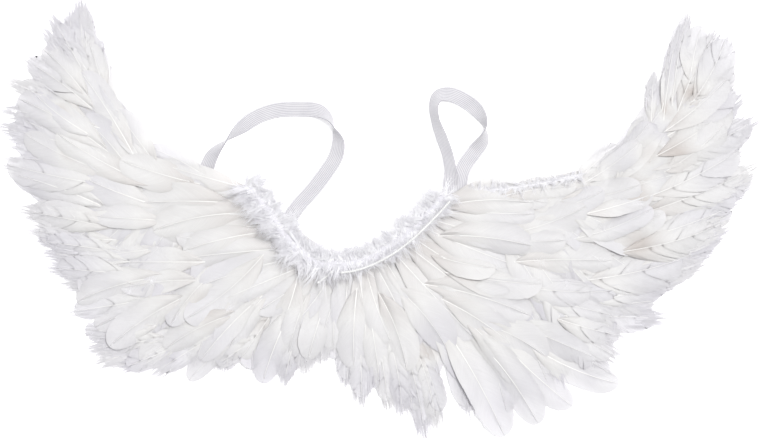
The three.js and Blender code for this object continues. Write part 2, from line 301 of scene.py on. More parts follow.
quillLook = {
    "light": (0.97, 0.965, 0.955, 1),
    "dark": (0.92, 0.905, 0.88, 1),
    "scale": 120.0,
    "bump": (0.2, 0.0002),
    "sockets": {"Roughness": 0.35},
}


def makeQuillMaterial():
    material, tree, shader = newMaterial("featherQuill")
    tones = wandering(tree, quillLook)
    finishMaterial(tree, shader, tones["Color"], tones["Mask"], quillLook)
    return material


downLook = {
    "light": (0.93, 0.925, 0.935, 1),
    "dark": (0.86, 0.855, 0.875, 1),
    # painted shade of the shadowed inside of the fluff, where the tone is 1
    "deep": (0.72, 0.71, 0.75, 1),
    "scale": 90.0,
    "stretch": (1.0, 1.0, 1.0),
    "fineness": 900.0,
    "bump": (0.4, 0.0008),
    "sockets": {
        "Roughness": 0.8,
        "Specular IOR Level": 0.2,
        "Sheen Weight": 0.6,
        "Sheen Roughness": 0.5,
        # Painted glow: a faint emission that brightens the dense down where light does not reach into it
        "Emission Color": (0.93, 0.92, 0.98, 1),
        "Emission Strength": 0.05,
    },
}


def makeDownMaterial():
    look = downLook
    material, tree, shader = newMaterial("softDown")
    # Mixes towards the painted shade colour by the tone
    color = mixed(tree, toneOf(tree), wandering(tree, look)["Color"], look["deep"])
    finishMaterial(tree, shader, color, fibred(tree, look, False)["Height"], look)
    return material


elasticLook = {
    "light": (0.8, 0.79, 0.81, 1),
    "dark": (0.74, 0.73, 0.76, 1),
    # painted shade in the grooves between the ribs
    "grooveShade": (0.55, 0.54, 0.58, 1),
    "scale": 60.0,
    "stretch": (18.0, 60.0, 1.0),
    "fineness": 1.0,
    "bump": (0.5, 0.0003),
    "sockets": {"Roughness": 0.6, "Sheen Weight": 0.2},
}


def makeElasticMaterial():
    look = elasticLook
    material, tree, shader = newMaterial("ribbedElastic")
    # Painted shade: the grooves between the ribs are darkened
    color = mixed(tree, toneOf(tree), wandering(tree, look)["Color"], look["grooveShade"], "MULTIPLY")
    finishMaterial(tree, shader, color, fibred(tree, look)["Height"], look)
    return material


cordLook = {
    "light": (0.97, 0.97, 0.965, 1),
    "dark": (0.9, 0.9, 0.89, 1),
    "scale": 200.0,
    "stretch": (2.0, 12.0, 1.0),
    "fineness": 2.0,
    "bump": (0.5, 0.0003),
    "sockets": {"Roughness": 0.7},
}


def makeCordMaterial():
    look = cordLook
    material, tree, shader = newMaterial("twistedCord")
    finishMaterial(tree, shader, wandering(tree, look)["Color"], fibred(tree, look)["Height"], look)
    return material


feltLook = {
    "light": (0.88, 0.87, 0.86, 1),
    "dark": (0.8, 0.79, 0.78, 1),
    "speck": (0.88, 0.87, 0.86, 1),
    "scale": 45.0,
    "stretch": (1.0, 1.4, 1.0),
    "fineness": 1400.0,
    "bump": (0.6, 0.0006),
    "sockets": {"Roughness": 0.95},
}


def makeFeltMaterial():
    look = feltLook
    material, tree, shader = newMaterial("whiteFelt")
    fuzz = fibred(tree, look, False)
    color = mixed(tree, fuzz["Fibre"], wandering(tree, look)["Color"], look["speck"], "MULTIPLY")
    finishMaterial(tree, shader, color, fuzz["Height"], look)
    return material


print("materials")
vaneMaterial = makeVaneMaterial()
quillMaterial = makeQuillMaterial()
downMaterial = makeDownMaterial()
elasticMaterial = makeElasticMaterial()
cordMaterial = makeCordMaterial()
feltMaterial = makeFeltMaterial()


# A basket gathers grids of points, in metres, and becomes one mesh
def newBasket():
    kinds = ("points", "uvs", "tones", "quads", "tris", "quadSlots", "triSlots")
    return {"count": 0, **{kind: [] for kind in kinds}}


def addPart(basket, points, uvs=None, tone=0.0, quads=None, tris=None, slot=0):
    basket["points"].append(points)
    basket["uvs"].append(np.zeros((len(points), 2)) if uvs is None else uvs)
    basket["tones"].append(np.broadcast_to(tone, len(points)).astype(float))
    if quads is not None:
        basket["quads"].append(quads + basket["count"])
        basket["quadSlots"].append(np.full(len(quads), slot))
    if tris is not None:
        basket["tris"].append(tris + basket["count"])
        basket["triSlots"].append(np.full(len(tris), slot))
    basket["count"] += len(points)


def basketMesh(basket, name):
    points = np.concatenate(basket["points"])
    quads = np.concatenate([np.zeros((0, 4), int), *basket["quads"]])
    tris = np.concatenate([np.zeros((0, 3), int), *basket["tris"]])
    corners = np.concatenate([quads.ravel(), tris.ravel()]).astype(np.int32)
    sizes = np.concatenate([np.full(len(quads), 4), np.full(len(tris), 3)])
    starts = np.concatenate([[0], np.cumsum(sizes)[:-1]]).astype(np.int32)
    slots = np.concatenate([*basket["quadSlots"], *basket["triSlots"]]).astype(np.int32)
    mesh = bpy.data.meshes.new(name)
    mesh.vertices.add(len(points))
    mesh.vertices.foreach_set("co", points.astype(np.float32).ravel())
    mesh.loops.add(len(corners))
    mesh.loops.foreach_set("vertex_index", corners)
    mesh.polygons.add(len(sizes))
    mesh.polygons.foreach_set("loop_start", starts)
    mesh.polygons.foreach_set("material_index", slots)
    layer = mesh.uv_layers.new(name="barbs")
    uvs = np.concatenate(basket["uvs"])[corners]
    layer.data.foreach_set("uv", uvs.astype(np.float32).ravel())
    tone = mesh.attributes.new("tone", "FLOAT", "POINT")
    tone.data.foreach_set("value", np.concatenate(basket["tones"]).astype(np.float32))
    mesh.update(calc_edges=True)
    mesh.validate()
    return mesh


def makePiece(name, basket, materials, node, smoothAngle=50):
    mesh = basketMesh(basket, name)
    piece = bpy.data.objects.new(name, mesh)
    bpy.context.collection.objects.link(piece)
    for material in materials:
        mesh.materials.append(material)
    bpy.ops.object.select_all(action="DESELECT")
    piece.select_set(True)
    bpy.context.view_layer.objects.active = piece
    bpy.ops.object.shade_smooth_by_angle(angle=math.radians(smoothAngle))
    piece.select_set(False)
    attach(piece, "root")
    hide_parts(node)
    count = sum(len(face.vertices) - 2 for face in mesh.polygons)
    print("piece", name, count, "triangles")
    return piece


# Centripetal curve through points, at shares of its rows from 0 to 1
def curveThrough(points, shares):
    points = np.asarray(points, float)
    padded = np.vstack([2 * points[0] - points[1], points, 2 * points[-1] - points[-2]])
    place = np.clip(shares, 0, 1) * (len(points) - 1)
    low = np.minimum(place.astype(int), len(points) - 2)
    t = (place - low)[:, None]
    a, b, c, d = padded[low], padded[low + 1], padded[low + 2], padded[low + 3]
    ab = np.sqrt(np.linalg.norm(b - a, axis=1))[:, None]
    bc = np.sqrt(np.linalg.norm(c - b, axis=1))[:, None]
    cd = np.sqrt(np.linalg.norm(d - c, axis=1))[:, None]
    slopeB = ((b - a) / ab - (c - a) / (ab + bc) + (c - b) / bc) * bc
    slopeC = ((c - b) / bc - (d - b) / (bc + cd) + (d - c) / cd) * bc
    cubic = 2 * (b - c) + slopeB + slopeC
    square = 3 * (c - b) - 2 * slopeB - slopeC
    return ((cubic * t + square) * t + slopeB) * t + b


def evenly(points, shares, samples=400):
    line = curveThrough(points, np.linspace(0, 1, samples))
    run = np.concatenate([[0], np.cumsum(np.linalg.norm(np.diff(line, axis=0), axis=1))])
    run /= run[-1]
    return np.stack([np.interp(shares, run, line[:, i]) for i in range(line.shape[1])], axis=1)


def smoothstep(x, low, high):
    t = np.clip((x - low) / (high - low), 0, 1)
    return t * t * (3 - 2 * t)


def unit(v):
    return v / np.maximum(np.linalg.norm(v, axis=-1, keepdims=True), 1e-9)


def rightOf(direction):
    return unit(np.stack([direction[..., 1], -direction[..., 0]], axis=-1))


# The same named lines and heights as the solid model
stack = {
    "panelTop": 0.0038,
    "panelBottom": 0.0018,
    "clearance": 0.0003,
    "droopRun": 0.07,
}

# x is a share of the span, y and half are shares of the height
panelLine = [
    (-0.325, 0.1, 0.07),
    (-0.262, 0.035, 0.075),
    (-0.191, -0.037, 0.105),
    (-0.119, -0.135, 0.1),
    (-0.046, -0.186, 0.085),
    (0.027, -0.151, 0.095),
    (0.093, -0.064, 0.102),
    (0.185, 0.005, 0.072),
    (0.304, 0.06, 0.065),
]
neckline = [
    (-0.178, 0.078),
    (-0.156, 0.037),
    (-0.132, -0.021),
    (-0.108, -0.071),
    (-0.076, -0.103),
    (-0.039, -0.103),
    (-0.002, -0.08),
    (0.03, -0.044),
    (0.059, 0.002),
    (0.089, 0.057),
]
topEdge = [(0.124, 0.06), (0.17, 0.07), (0.205, 0.079), (0.24, 0.09), (0.268, 0.1)]


def placed(rows):
    return np.array([(row[0] * wingSpan, row[1] * wingHeight) for row in rows])


panelPoints = curveThrough(placed(panelLine), np.linspace(0, 1, 41))
panelHalf = np.interp(np.linspace(0, 1, 41), np.linspace(0, 1, 9), [row[2] for row in panelLine]) * wingHeight


# Least distance from places to a line of points, less the line's half width there
def pastLine(points, halves, places):
    least = np.full(len(places), np.inf)
    for i in range(len(points) - 1):
        start, run = points[i], points[i + 1] - points[i]
        share = np.clip(((places - start) @ run) / (run @ run), 0, 1)
        gap = np.linalg.norm(places - start - share[:, None] * run, axis=1)
        least = np.minimum(least, gap - (halves[i] + (halves[i + 1] - halves[i]) * share))
    return least


# The fall from the carrier to the floor is worked out once on a fine grid
heightGrid = {"step": 0.002, "x": -0.34, "y": -0.21, "columns": 341, "rows": 211}


def makeHeightGrid():
    g = heightGrid
    xs = g["x"] + g["step"] * np.arange(g["columns"])
    ys = g["y"] + g["step"] * np.arange(g["rows"])
    places = np.stack(np.meshgrid(xs, ys), axis=-1).reshape(-1, 2)
    fall = smoothstep(pastLine(panelPoints, panelHalf, places), 0, stack["droopRun"])
    return fall.reshape(g["rows"], g["columns"])


fallGrid = makeHeightGrid()


def onGrid(grid, x, y):
    g = heightGrid
    col = np.clip((x - g["x"]) / g["step"], 0, g["columns"] - 1.001)
    row = np.clip((y - g["y"]) / g["step"], 0, g["rows"] - 1.001)
    c, r = col.astype(int), row.astype(int)
    u, v = col - c, row - r
    near = grid[r, c] * (1 - u) + grid[r, c + 1] * u
    far = grid[r + 1, c] * (1 - u) + grid[r + 1, c + 1] * u
    return near * (1 - v) + far * v


# Feathers are laid one after another. This grid keeps the height reached, so each one rests on the last
restForm = {
    "step": 0.001,
    "x": -0.34,
    "y": -0.21,
    "columns": 681,
    "rows": 421,
    "soften": 4,  # in steps
    "pad": 10,
    "gap": 0.00018,
    "start": 0.0008,
    "settle": 0.0007,  # the feathers' feet sink so far into the felt
}


def makeRestGrid():
    g = restForm
    xs = g["x"] + g["step"] * np.arange(g["columns"])
    ys = g["y"] + g["step"] * np.arange(g["rows"])
    x, y = np.meshgrid(xs, ys)
    over = stack["panelTop"] + stack["clearance"] - g["settle"]
    return g["start"] + over * (1 - onGrid(fallGrid, x, y))


restGrid = makeRestGrid()


def softened(field, radius):
    for axis in (0, 1):
        pad = [(radius + 1, radius) if k == axis else (0, 0) for k in (0, 1)]
        sums = np.cumsum(np.pad(field, pad, mode="edge"), axis=axis)
        count, size = field.shape[axis], 2 * radius + 1
        field = (sums.take(np.arange(size, size + count), axis) - sums.take(np.arange(count), axis)) / size
    return field


def gridPlaces(xy):
    g = restForm
    col = np.clip((xy[..., 0] - g["x"]) / g["step"], 1, g["columns"] - 2)
    row = np.clip((xy[..., 1] - g["y"]) / g["step"], 1, g["rows"] - 2)
    return row, col


# Soft height under some places, and the highest point right at each of them
def restUnder(xy):
    row, col = gridPlaces(xy)
    r = np.rint(row).astype(int)
    c = np.rint(col).astype(int)
    pad = restForm["pad"]
    r0, c0 = max(r.min() - pad, 0), max(c.min() - pad, 0)
    window = restGrid[r0:r.max() + pad + 1, c0:c.max() + pad + 1]
    soft = softened(softened(window, restForm["soften"]), restForm["soften"])
    row, col = row - r0, col - c0
    a, b = row.astype(int), col.astype(int)
    u, v = row - a, col - b
    near = soft[a, b] * (1 - v) + soft[a, b + 1] * v
    far = soft[a + 1, b] * (1 - v) + soft[a + 1, b + 1] * v
    return near * (1 - u) + far * u, restGrid[r, c]


def spreadRows(count, times=4):
    shares = np.linspace(0, count - 1, (count - 1) * times + 1)
    return np.stack([np.interp(shares, np.arange(count), row) for row in np.eye(count)], axis=1)


# Marks the top of a grid of points, so that what comes later lies above it
def markRest(points):
    down, over = spreadRows(points.shape[0]), spreadRows(points.shape[1])
    fine = np.einsum("ia,abk,jb->ijk", down, points, over)
    row, col = gridPlaces(fine)
    np.maximum.at(restGrid, (np.rint(row).astype(int), np.rint(col).astype(int)), fine[..., 2])


featherForm = {
    "barbStep": 0.0021,  # along the quill
    "rings": 5,  # from the quill to the edge
    "thickness": 0.0003,
    "roll": 0.0013,  # one side higher than the other
    "camber": 0.1,  # share of the width
    "edgeCurl": 0.0012,
    "sink": 0.4,  # share of its rise that the next feather may sink into
    "wave": 0.0011,  # rise and fall along the feather
    "sweep": 1.9,  # how far a barb runs towards the tip, in half widths
    "quillSides": 6,
    "quillFlat": 0.5,
    "quillRings": 16,
    "start": 0.06,  # share of the length at which the vane starts
    "ripple": 0.0005,
    "tug": 0.00025,  # how far a worn group of barbs rises or falls
}

# end: length of the rounded end in widths, round: how square it is, fray: how uneven the edge is,
# splits: gaps between groups of barbs, reach: share of the length that the vane fills, quill: its radius,
# curl: lift of the end
styleKeys = ("end", "round", "fray", "splits", "reach", "quill", "curl")
styleRows = {
    "round": (0.85, 2.0, 0.05, 0, 1, 0.0003, 0.0008),
    "quilled": (0.9, 2.0, 0.04, 0, 1, 0.00044, 0.0008),
    "under": (0.9, 2.0, 0.05, 0, 1, 0.0003, 0.0003),
    "worn": (0.8, 2.0, 0.07, 2, 0.99, 0.0003, 0.0012),
    "frayed": (0.9, 2.0, 0.12, 4, 0.94, 0.0003, 0.0016),
    "lifted": (0.85, 2.0, 0.03, 0, 1, 0.0003, 0.0035),
    "pointed": (1.7, 1.6, 0.03, 0, 1, 0.0003, 0.001),
    "hero": (1.0, 2.15, 0.04, 0, 1, 0.00055, 0.0008),
}
featherStyles = {name: dict(zip(styleKeys, row)) for name, row in styleRows.items()}
coarseStyles = {"under": 1.7, "frayed": 1.15, "worn": 1.1}
# loose hairs at the rim, and pointed locks of barbs that end a worn feather
hairForm = {
    "worn": 8,
    "frayed": 14,
    "round": 8,
    "quilled": 6,
    "lifted": 8,
    "hero": 8,
    "length": (0.003, 0.008),
    "thick": (0.00007, 0.00014),
}
lockForm = {
    "worn": 16,
    "frayed": 42,
    "length": (0.009, 0.02),
    "wide": (0.0005, 0.0012),
    "flat": 0.22,
    "lift": 0.001,
}

# wisps of down beside the lower half of a feather
wispForm = {"count": 16, "reach": (0.02, 0.5), "length": (0.006, 0.013), "thick": (0.00005, 0.0001)}


def wander(count, step, rng):
    knots = max(2, int(count / step) + 2)
    return np.interp(np.linspace(0, knots - 1, count), np.arange(knots), rng.normal(size=knots))


gridFaceCache = {}


# Faces of a closed thin shell: a top grid, and a bottom grid that shares the top's border
def shellFaces(rows, columns):
    key = (rows, columns)
    if key not in gridFaceCache:
        top = np.arange(rows * columns).reshape(rows, columns)
        inside = np.arange((rows - 2) * (columns - 2)).reshape(rows - 2, columns - 2)
        bottom = top.copy()
        bottom[1:-1, 1:-1] = rows * columns + inside
        upper = np.stack([top[:-1, :-1], top[1:, :-1], top[1:, 1:], top[:-1, 1:]], axis=-1).reshape(-1, 4)
        lower = np.stack([bottom[:-1, :-1], bottom[:-1, 1:], bottom[1:, 1:], bottom[1:, :-1]], axis=-1)
        gridFaceCache[key] = (upper, lower.reshape(-1, 4))
    return gridFaceCache[key]


def tubeFaces(rings, sides):
    index = np.arange(rings * sides).reshape(rings, sides)
    turned = np.roll(index, -1, axis=1)
    return np.stack([index[:-1], turned[:-1], turned[1:], index[1:]], axis=-1).reshape(-1, 4)


# Closes both ends of a tube with a fan
def tubeCap(points, rings, sides):
    first = np.arange(sides)[::-1]
    last = (rings - 1) * sides + np.arange(sides)
    middle = np.concatenate([points[:sides].mean(axis=0)[None], points[-sides:].mean(axis=0)[None]])
    start = len(points)
    fans = [[first[i], first[(i + 1) % sides], start] for i in range(sides)]
    fans += [[last[i], last[(i + 1) % sides], start + 1] for i in range(sides)]
    return np.concatenate([points, middle]), np.array(fans)


def addTube(basket, points, rings, sides, uvs=None, tone=0.0, slot=0, turned=True):
    points, fans = tubeCap(points, rings, sides)
    quads = tubeFaces(rings, sides)
    if turned:
        quads, fans = quads[:, ::-1], fans[:, ::-1]
    if uvs is not None:
        uvs = np.concatenate([uvs, np.zeros((2, 2))])
    if np.ndim(tone):
        tone = np.append(tone, [0, 0])
    addPart(basket, points, uvs, tone, quads, fans, slot)


# Line of the quill: its point and heading at shares of the length, which may run on past the tip
def quillLine(row, bow):
    root, tip = seen(row[0], row[1]), seen(row[2], row[3])
    side = rightOf((tip - root)[None])[0]
    middle = (root + tip) / 2 + side * bow * 2 * np.linalg.norm(tip - root)

    def line(u):
        u = u[..., None]
        spot = (1 - u) ** 2 * root + 2 * u * (1 - u) * middle + u**2 * tip
        head = unit(2 * (1 - u) * (middle - root) + 2 * u * (tip - middle))
        return spot, head

    return line


def addQuill(basket, line, style, heightAt, tone):
    form = featherForm
    rings, sides = form["quillRings"], form["quillSides"]
    u = np.linspace(0, 0.97 * style["reach"], rings)
    spot, head = line(u)
    z = heightAt(u)
    radius = style["quill"] * (1 - 0.75 * u)
    angle = np.arange(sides) * 2 * math.pi / sides
    ring = rightOf(head)[:, None, :] * (np.cos(angle)[None, :, None] * radius[:, None, None])
    xy = spot[:, None, :] + ring
    height = z[:, None] + (0.3 + np.sin(angle)[None] * form["quillFlat"]) * radius[:, None]
    points = np.concatenate([xy, height[..., None]], axis=-1).reshape(-1, 3)
    addTube(basket, points, rings, sides, tone=tone, slot=1)


# Locks run on from the vane, nearly along the quill, and end in points
def addLocks(basket, line, styleName, width, length, tone, rng):
    form = lockForm
    count = form[styleName]
    f = np.linspace(-1, 1, count) + rng.uniform(-0.15, 0.15, count)
    f = np.clip(f, -0.98, 0.98)
    long = rng.uniform(*form["length"], count) / length
    last = 1.11 - 0.3 * np.abs(f) ** 2.4 - 0.08 * np.abs(rng.normal(size=count))
    t = np.linspace(0, 1, 6)
    along = (last - long)[:, None] + long[:, None] * t
    drift = rng.normal(0, 0.12, count)[:, None] * t**2 + 0.1 * f[:, None] * t
    across = (f[:, None] * 0.86 + drift) * width / 2 * (1 - 0.15 * t)
    spot, head = line(along)
    xy = spot + rightOf(head) * across[..., None]
    soft, high = restUnder(xy)
    lift = form["lift"] * rng.uniform(0, 1, count)[:, None] ** 2 * t**2
    z = np.maximum(soft, high) + 0.00025 + lift
    path = np.concatenate([xy, z[..., None]], axis=-1)
    addPaths(basket, path, rng.uniform(*form["wide"], count), tone, 0, form["flat"])


# Painted shadow: brown-grey shade laid on the lower feathers only, in the deep places between the rows: x, y
# and radius in view steps
hollowForm = {"below": 1.25, "depth": 1.7}
hollows = [
    (650, 152, 15), (676, 156, 13), (638, 196, 17), (638, 240, 15), (668, 112, 10),
    (690, 92, 9), (620, 214, 14), (197, 305, 18), (188, 238, 12), (330, 326, 12),
    (60, 110, 10), (70, 150, 10), (432, 352, 12), (590, 262, 12),
]


def hollowShadow(xy, level):
    deep = np.zeros(xy.shape[:-1])
    if level < hollowForm["below"]:
        for x, y, radius in hollows:
            far = np.linalg.norm(xy - seen(x, y), axis=-1) / (radius * viewStep)
            deep = np.maximum(deep, hollowForm["depth"] * np.exp(-far * far))
    return deep


def addWisps(basket, line, tone, rng):
    form = wispForm
    count = form["count"]
    along = rng.uniform(*form["reach"], count)
    spot, head = line(along)
    side = rng.choice([-1.0, 1.0], count)[:, None]
    out = rightOf(head) * side
    way = unit(head + out * rng.uniform(0.25, 0.8, count)[:, None])
    soft, high = restUnder(spot)
    starts = np.concatenate([spot, np.maximum(soft, high)[:, None] + 0.0003], axis=1)
    ways = unit(np.concatenate([way, rng.uniform(0.02, 0.12, (count, 1))], axis=1))
    bends = np.concatenate([out * rng.uniform(-0.2, 0.6, count)[:, None], np.full((count, 1), -0.08)], axis=1)
    long = rng.uniform(*form["length"], count)
    thick = rng.uniform(*form["thick"], count)
    addStrands(basket, starts, ways, bends, long, thick, steps=4, tone=tone)


def addFeather(basket, row, rng):
    width, level, styleName = row[4:7]
    style = featherStyles[styleName]
    form = featherForm
    width = width * viewStep
    bow = row[7] if len(row) > 7 else rng.normal(0, 0.03)
    line = quillLine(row, bow)
    length = np.linalg.norm(seen(row[2], row[3]) - seen(row[0], row[1]))
    count = max(14, int(length / form["barbStep"] / coarseStyles.get(styleName, 1)))
    columns = form["rings"] + 1
    share = np.linspace(0, 1, count)
    start = form["start"]
    edge = start + (style["reach"] - start) * (1 - (1 - share) ** 1.35)
    f = np.linspace(0, 1, columns)
    endRun = np.clip(style["end"] * width / length, 0.12, 0.7)
    swell = smoothstep(edge, start - 0.1, 0.5) ** 0.7
    endPart = np.clip((edge / style["reach"] - (1 - endRun)) / endRun, 0, 1)
    ending = (1 - endPart ** style["round"]) ** (1 / style["round"])
    outline = np.maximum(swell * ending, 0.02)
    offset = rng.uniform(0, 40)
    # Lower rows lean to the darker lavender tones and upper rows to the lighter warm colour: partly a cooler
    # tint of the outer feathers, partly painted shade on the lower, outer feathers
    tone = np.clip(level / 3 * 0.8 + rng.normal(0.1, 0.2), 0, 1)
    curl = style["curl"] * rng.uniform(-0.3, 1.3)
    hidden = 0.3 if styleName == "under" else 1
    camber = form["camber"] * width * rng.uniform(0.6, 1.5) * hidden
    roll = form["roll"] * rng.normal(0.3, 1)
    wave = form["wave"] * rng.uniform(0.3, 1.2) * hidden
    phases = rng.uniform(0, 6.28, 3)

    def quillHeight(u):
        spot = line(u)[0]
        soft, high = restUnder(spot)
        spread = np.interp(u, edge, outline)
        rise = camber * spread + curl * smoothstep(u, 0.6, 1.05) + wave * np.sin(phases[0] + 5 * u)
        return np.maximum(soft + rise, high + restForm["gap"])

    # the quill takes its height before the vane marks the grid
    quillU = np.linspace(0, 1, 40)
    quillZ = quillHeight(quillU)
    grids, rims, ways = [], [], []
    for side in (-1, 1):
        uneven = 0.35 * wander(count, 6, rng) + 0.65 * rng.normal(size=count)
        worn = 0.25 + 0.75 * smoothstep(edge, 0.35, 1)
        half = outline * (1 - style["fray"] * worn * np.abs(uneven)) * width / 2
        half = half * (1 + 0.12 * side * np.sign(bow if bow else 1))
        base = np.maximum(edge - form["sweep"] * half / length * (1 - 0.3 * edge), 0.01)
        curlUp = form["edgeCurl"] * rng.normal(0.1, 0.6)
        bounds = [0]
        for cutShare in np.sort(rng.uniform(0.35, 0.97, style["splits"])):
            if cutShare * count - bounds[-1] >= 4:
                bounds.append(int(cutShare * count))
        bounds.append(count)
        for first, last in zip(bounds[:-1], bounds[1:]):
            last = min(last + 1, count)
            if last - first < 3:
                continue
            part = slice(first, last)
            parting = rng.uniform(0.02, 0.08) if style["splits"] else 0
            centre = edge[part].mean()
            opened = centre + (edge[part] - centre) * (1 - parting)
            along = base[part][:, None] + (opened - base[part])[:, None] * (0.45 * f + 0.55 * f * f)
            along = np.clip(along, 0, 1.04)
            across = side * half[part][:, None] * f
            spot, head = line(along)
            xy = spot + rightOf(head) * across[..., None]
            spread = (half[part] / (width / 2))[:, None]
            rise = camber * (1 - f * f) * spread + roll * side * f * spread
            rise = rise + curlUp * smoothstep(f, 0.55, 1) * spread
            rise = rise + curl * smoothstep(along, 0.6, 1.05) + wave * np.sin(phases[0] + 5 * along)
            ripple = np.sin(phases[1 if side < 0 else 2] + 7 * along * length / 0.06)
            rise = rise + form["ripple"] * ripple * f
            if style["splits"]:
                rise = rise + rng.normal(0, form["tug"]) * f
            soft, high = restUnder(xy)
            z = np.maximum(soft + rise, high + restForm["gap"])
            top = np.concatenate([xy, z[..., None]], axis=-1)
            top[:, 0, 2] = np.interp(along[:, 0], quillU, quillZ)
            thick = form["thickness"] * (1 - 0.6 * f)[None, 1:-1, None]
            low = top[1:-1, 1:-1] - np.array([0, 0, 1.0]) * thick
            points = np.concatenate([top.reshape(-1, 3), low.reshape(-1, 3)])
            u = base[part][:, None] * length * 100 + offset + 0 * f
            v = np.broadcast_to(f + (2 if side > 0 else 0), u.shape)
            uv = np.stack([u, v], axis=-1)
            uvs = np.concatenate([uv.reshape(-1, 2), uv[1:-1, 1:-1].reshape(-1, 2)])
            upper, lower = shellFaces(last - first, columns)
            if side > 0:
                upper, lower = upper[:, ::-1], lower[:, ::-1]
            # Tone rises towards each feather's covered foot and in the hollows: painted shade, partly the
            # warmer colour of the feathers' bases
            tintAndShade = tone + 1.1 * (1 - smoothstep(along, 0.1, 0.72)) + hollowShadow(xy, level)
            tones = np.concatenate([tintAndShade.ravel(), tintAndShade[1:-1, 1:-1].ravel()])
            addPart(basket, points, uvs, tones, np.concatenate([upper, lower]))
            sunk = top.copy()
            sunk[..., 2] -= np.clip(rise, 0, 1) * form["sink"]
            grids.append(sunk)
            if styleName in hairForm:
                rims.append(top[:, -1])
                ways.append(top[:, -1] - top[:, -3])

    addQuill(basket, line, style, lambda u: np.interp(u, quillU, quillZ), tone)
    for grid in grids:
        markRest(grid)
    if level > 0.75 and styleName != "under":
        addWisps(basket, line, tone, rng)
    if styleName in lockForm:
        addLocks(basket, line, styleName, width, length, tone, rng)
    if rims:
        rims, ways = np.concatenate(rims), unit(np.concatenate(ways))
        pick = rng.choice(np.arange(int(len(rims) * 0.2), len(rims)), hairForm[styleName])
        lengths = rng.uniform(*hairForm["length"], len(pick))
        radii = rng.uniform(*hairForm["thick"], len(pick))
        bends = rng.normal(0, 0.35, (len(pick), 3))
        addStrands(basket, rims[pick] - ways[pick] * 0.001, ways[pick], bends, lengths, radii, tone=tone)


# Tapered three-sided strands along rows of points, one row for each strand
def addPaths(basket, path, radii, tone=0.0, slot=0, flat=1.0):
    count, steps = path.shape[0], path.shape[1] - 1
    path = path.copy()
    row, col = gridPlaces(path)
    high = restGrid[np.rint(row).astype(int), np.rint(col).astype(int)]
    path[..., 2] = np.maximum(path[..., 2], high + 0.0002)
    ways = unit(path[:, -1] - path[:, 0])
    t = np.linspace(0, 1, steps + 1)
    helper = np.where(np.abs(ways[:, 2:3]) > 0.9, [[1.0, 0, 0]], [[0, 0, 1.0]])
    first = unit(np.cross(ways, helper))
    second = np.cross(ways, first)
    angle = np.arange(3) * 2 * math.pi / 3
    around = first[:, None] * np.cos(angle)[None, :, None]
    around = around + second[:, None] * np.sin(angle)[None, :, None] * flat
    radius = radii[:, None] * (1 - 0.75 * t[:-1] ** 1.3)
    rings = path[:, :-1, None] + around[:, None] * radius[:, :, None, None]
    points = np.concatenate([rings.reshape(count, -1, 3), path[:, -1:]], axis=1)
    perStrand = 3 * steps + 1
    quads = tubeFaces(steps, 3)
    tip, lastRing = perStrand - 1, 3 * (steps - 1)
    tris = np.array([[lastRing + i, lastRing + (i + 1) % 3, tip] for i in range(3)] + [[2, 1, 0]])
    shift = (np.arange(count) * perStrand)[:, None, None]
    quads = (quads[None] + shift).reshape(-1, 4)
    tris = (tris[None] + shift).reshape(-1, 3)
    addPart(basket, points.reshape(-1, 3), None, tone, quads, tris, slot)


def addStrands(basket, starts, ways, bends, lengths, radii, steps=3, tone=0.0, slot=0, flat=1.0):
    t = np.linspace(0, 1, steps + 1)
    path = starts[:, None] + ways[:, None] * (lengths[:, None] * t)[..., None]
    path = path + bends[:, None] * (lengths[:, None] * t * t)[..., None]
    addPaths(basket, path, radii, tone, slot, flat)


